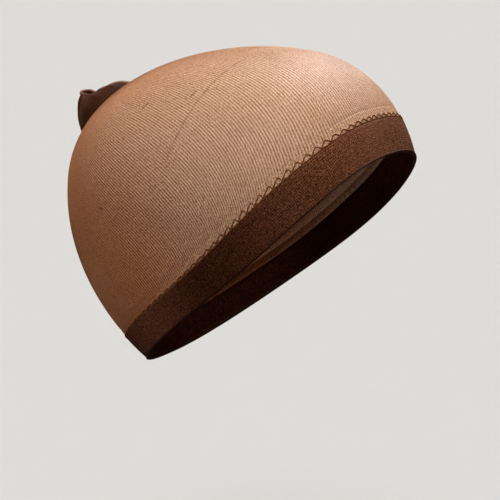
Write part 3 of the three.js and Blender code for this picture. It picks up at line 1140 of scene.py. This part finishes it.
def makeGatherTail():
    look = gatherTail
    table = np.array(look["sections"])
    columns = look["columns"]
    turn = (np.arange(columns) / columns * fullTurn)[:, None]
    slope = faceNormal(tailCentre)
    slopeAngle = math.atan2(slope[2], slope[1])
    mouth = tailCentre + fit * np.array([0, look["mouthBack"], look["mouthRise"]])

    def ringPoints(along):
        radiusShare = smoothTable(along, table[:, 0], table[:, 1])[..., None]
        level = smoothTable(along, table[:, 0], table[:, 2])
        angle = lerp(slopeAngle, math.pi / 2, level)
        uphill = np.stack([np.zeros_like(angle), -np.sin(angle), np.cos(angle)], -1)
        radius = fit * lerp(look["mouthRadius"], edges["tailRadius"], radiusShare)
        heading = turn[..., None]
        tip = math.radians(look["mouthTip"]) * level
        sideways = np.stack([np.cos(tip), np.zeros_like(tip), np.sin(tip)], -1)
        return (tailCentre + (mouth - tailCentre) * along[..., None]
                + uphill * radius * np.cos(heading) + sideways * radius * np.sin(heading))

    def onCrown(distance):      # the crown's points at that distance from the tail's centre
        fall = borderOf(np.zeros_like(turn), np.full_like(turn, 1.2), lambda f: np.linalg.norm(
            facePoint(headed(turn, f)) - tailCentre, axis=-1) < distance)
        return facePoint(headed(turn, fall))

    ring = onCrown(fit * edges["tailRadius"])
    drop = ring - ringPoints(np.zeros((1, 1)))
    flange = onCrown(fit * (edges["tailRadius"] + look["flangeReach"]))
    flange = raised(flange, np.full_like(turn, -look["flangeDepth"]))

    def smoothPart(along):
        along = along[None]
        return ringPoints(along) + drop * ((1 - along) ** 3)[..., None]

    alongOuter = np.linspace(0, 1, look["rows"])
    alongInner = np.linspace(1, 0, look["insideRows"])

    def outward(points):
        aroundStep = np.roll(points, -1, 0) - np.roll(points, 1, 0)
        alongStep = np.gradient(points, axis=1)
        normal = unit(np.cross(aroundStep, alongStep))
        return normal * np.sign(np.sum(normal * (points - points.mean(0, keepdims=True)), -1).mean())

    outer = smoothPart(alongOuter)
    outerNormal = outward(outer)
    depth = np.interp(alongOuter, table[:, 0], table[:, 3])
    stray = look["pleatWander"] * np.sin(3 * alongOuter[None] + turn)
    wave = 0.5 + 0.5 * np.cos(look["pleats"] * turn + stray)
    fine = 0.5 + 0.5 * np.cos(3 * look["pleats"] * turn + 1.3 * np.sin(2 * turn))
    folds = wave ** look["pleatSharpness"] + look["finePleats"] * fine - 0.1
    pleat = fit * look["pleatDepth"] * depth[None] * folds
    bulge, lipPlace, lipSpread = look["mouthLip"]
    lip = fit * bulge * np.exp(-((alongOuter - lipPlace) / lipSpread) ** 2)[None]
    outer = outer + outerNormal * (pleat + lip)[..., None]
    inner = smoothPart(alongInner)
    wall = fit * look["wall"] * np.where(alongInner > lipPlace, look["mouthWall"], 1)
    inner = inner - outward(inner) * wall[None, :, None]
    points = np.concatenate([flange, outer, inner], 1)
    alongV = np.concatenate([[-0.02], alongOuter, alongInner])
    tail = pieceOf("gatherTail", gridMesh("gatherTail", points, alongV, {}))
    tail.data.materials.append(tailMaterial(look))
    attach(tail, "root")
    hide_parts("gather_tail")
    print("tail made,", len(tail.data.polygons), "faces")


# Stage: the camera at the photograph's angle, a pale floor and soft light

camera = {
    "azimuth": -62.01,          # degrees
    "elevation": 12.69,
    "roll": 2.74,
    "distance": 0.9,
    "acrossAim": -0.01849,
    "upAim": -0.0275,
    "focal": 1711.8,            # in pixels of the 500 pixel frame
    "frameSize": 500,
    "sensor": 36,
}


def viewAxes():
    a, e, roll = (math.radians(camera[key]) for key in ("azimuth", "elevation", "roll"))
    back = np.array([math.sin(a) * math.cos(e), -math.cos(a) * math.cos(e), math.sin(e)])
    flat = unit(np.cross(-back, [0, 0, 1]))
    up = np.cross(flat, -back)
    right = math.cos(roll) * flat + math.sin(roll) * up
    up = -math.sin(roll) * flat + math.cos(roll) * up
    return right, up, back


def makeCamera():
    right, up, back = viewAxes()
    place = camera["acrossAim"] * right + camera["upAim"] * up + camera["distance"] * back - seat
    data = bpy.data.cameras.new("camera")
    data.sensor_width = camera["sensor"]
    data.lens = camera["focal"] / camera["frameSize"] * camera["sensor"]
    data.clip_start = 0.01
    data.clip_end = 100
    body = bpy.data.objects.new("camera", data)
    bpy.context.collection.objects.link(body)
    turn = Matrix((right, up, back)).transposed().to_4x4()
    body.matrix_world = Matrix.Translation(Vector(place)) @ turn
    bpy.context.scene.camera = body
    print("camera placed")


lights = {                      # toward: right, up and back of the camera
    "overhead": {"toward": (0.0, 1.0, 0.15), "strength": 0.95},
    "upperRight": {"toward": (0.32, 0.92, 0.22), "strength": 0.5},
    "front": {"toward": (-0.08, 0.6, 0.79), "strength": 1.0},
    "left": {"toward": (-0.6, 0.6, 0.5), "strength": 0.45},
    "opening": {"toward": (0.45, -0.75, 0.48), "strength": 0.42},
    "behind": {"toward": (0.22, 0.86, -0.45), "strength": 1.6},
    "low": {"toward": (-0.65, 0.0, 0.76), "strength": 0.14},
    "gloss": {"toward": (0.46, 0.68, -0.56), "strength": 0.8},      # lends only a soft shine
}
stage = {
    "floorDrop": 0.25,          # the floor lies this far under the cap, which is held up
    "floorSize": 30,
    "floorColour": (0.60, 0.585, 0.565),
    "worldColour": (0.93, 0.95, 1.0),
    "worldStrength": 0.05,
    "lampDistance": 2,
    "lampSpread": 25,           # degrees across each wide soft lamp
}


def makeLights():
    right, up, back = viewAxes()
    centre = Vector((cadBox[0] + cadBox[1]) / 2)
    for name, light in lights.items():
        x, y, z = light["toward"]
        toward = Vector(unit(x * right + y * up + z * back))
        data = bpy.data.lights.new(name + "Light", "SUN")
        data.energy = light["strength"]
        data.angle = math.radians(stage["lampSpread"])
        lamp = bpy.data.objects.new(name + "Light", data)
        bpy.context.collection.objects.link(lamp)
        lamp.location = centre + toward * stage["lampDistance"]
        lamp.rotation_mode = "QUATERNION"
        lamp.rotation_quaternion = toward.to_track_quat("Z", "Y")
        lamp.visible_diffuse = name != "gloss"
    world = bpy.data.worlds.new("studio")
    bpy.context.scene.world = world
    world.use_nodes = True
    shade = world.node_tree.nodes["Background"]
    shade.inputs["Color"].default_value = (*stage["worldColour"], 1)
    shade.inputs["Strength"].default_value = stage["worldStrength"]
    bpy.context.scene.view_settings.view_transform = "Standard"
    print("lights placed")


def makeFloor():
    half = stage["floorSize"] / 2
    z = cadBox[0].z - stage["floorDrop"]
    mesh = bpy.data.meshes.new("floor")
    corners = [(-half, -half, z), (half, -half, z), (half, half, z), (-half, half, z)]
    mesh.from_pydata(corners, [], [(0, 1, 2, 3)])
    floor = pieceOf("floor", mesh)
    material, tree, shader = newMaterial("paleFloor")
    shade = noiseOf(tree, 30, 3, 41.0)
    low = tuple(0.985 * c for c in stage["floorColour"])
    tree.links.new(blended(tree, shade, low, stage["floorColour"]), shader.inputs["Base Color"])
    setShader(shader, roughness=1.0, specular=0.0)
    mesh.materials.append(material)
    floor.visible_diffuse = False       # no bounce up to the cap, whose under side stays dark
    floor.visible_glossy = False
    floor.visible_shadow = False        # one lamp shines up into the opening from under the floor
    print("floor laid")


makeCamera()
makeLights()
makeFloor()
ribs = ribsTree()
makeCrownKnit(ribs)
makeSeamStrip()
makeBandWelt(ribs)
makeJoinStitch()
makeGatherTail()
